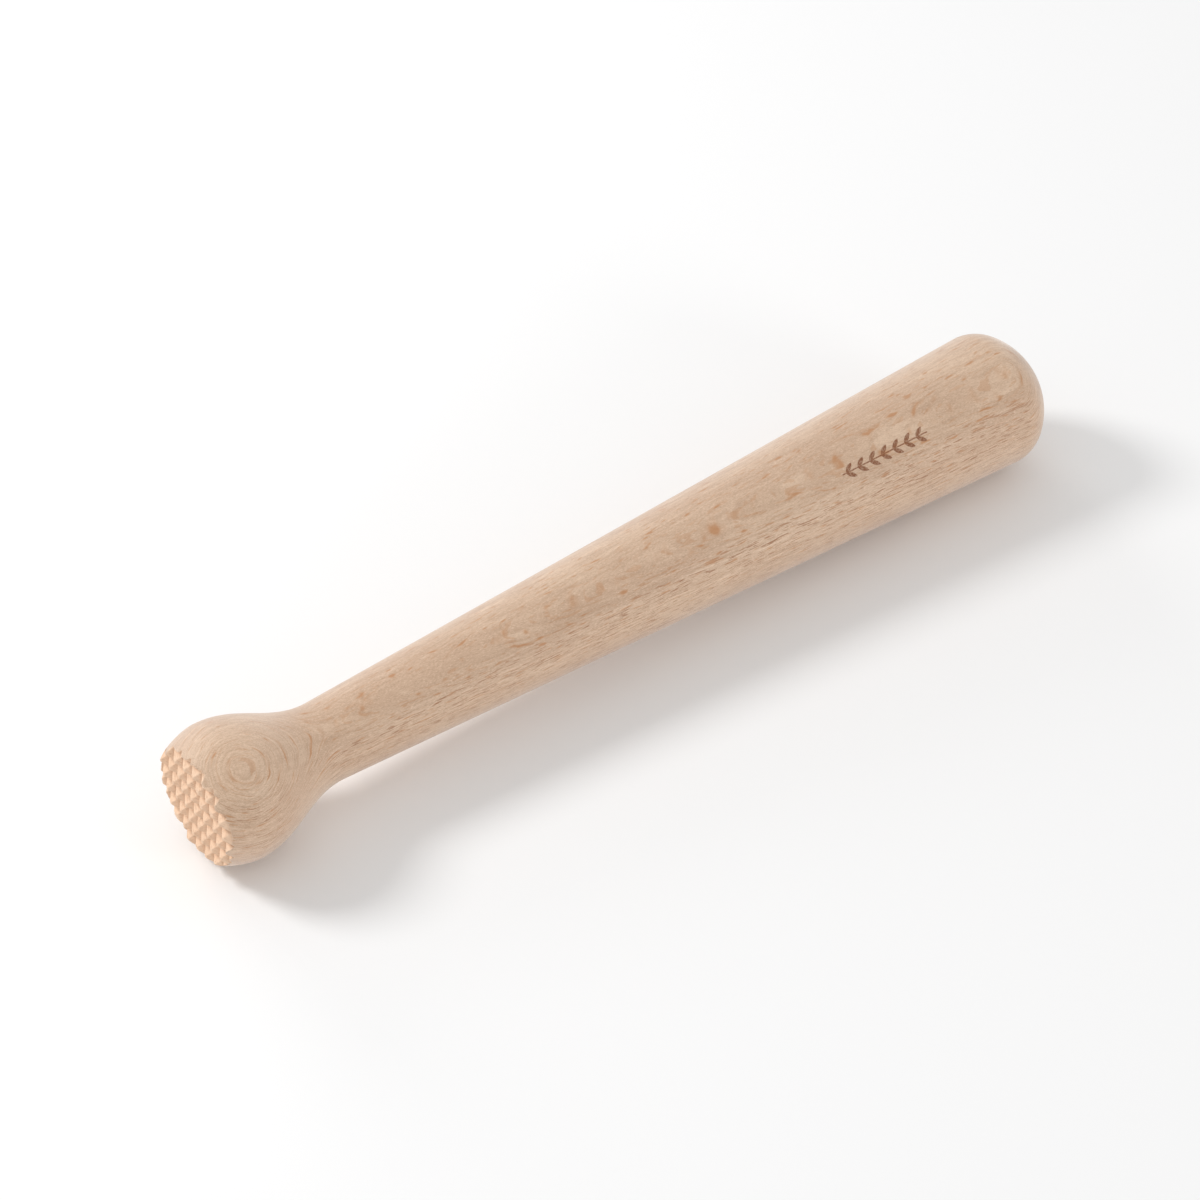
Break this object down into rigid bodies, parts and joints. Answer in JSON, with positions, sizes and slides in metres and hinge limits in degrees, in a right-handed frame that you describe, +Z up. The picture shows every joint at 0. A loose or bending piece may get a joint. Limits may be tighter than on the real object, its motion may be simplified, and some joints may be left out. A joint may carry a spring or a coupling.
{
  "type": "muddler",
  "caption": "Bar muddler turned from one piece of beech: a toothed pear-shaped head, a slim neck and a handle that widens towards a rounded end.",
  "frame": {"origin": "on the table, under the middle of the muddler's length, with the muddler lying on its side", "axes": "+X along the turning axis from the toothed face to the rounded end of the handle, +Z up, +Y to the left when looking along +X"},
  "size_m": [0.28, 0.0392, 0.0392],
  "materials": {
    "beech": "sanded, unvarnished"
  },
  "bodies": {
    "root": {"muddler_body": "beech"}
  },
  "joints": []
}
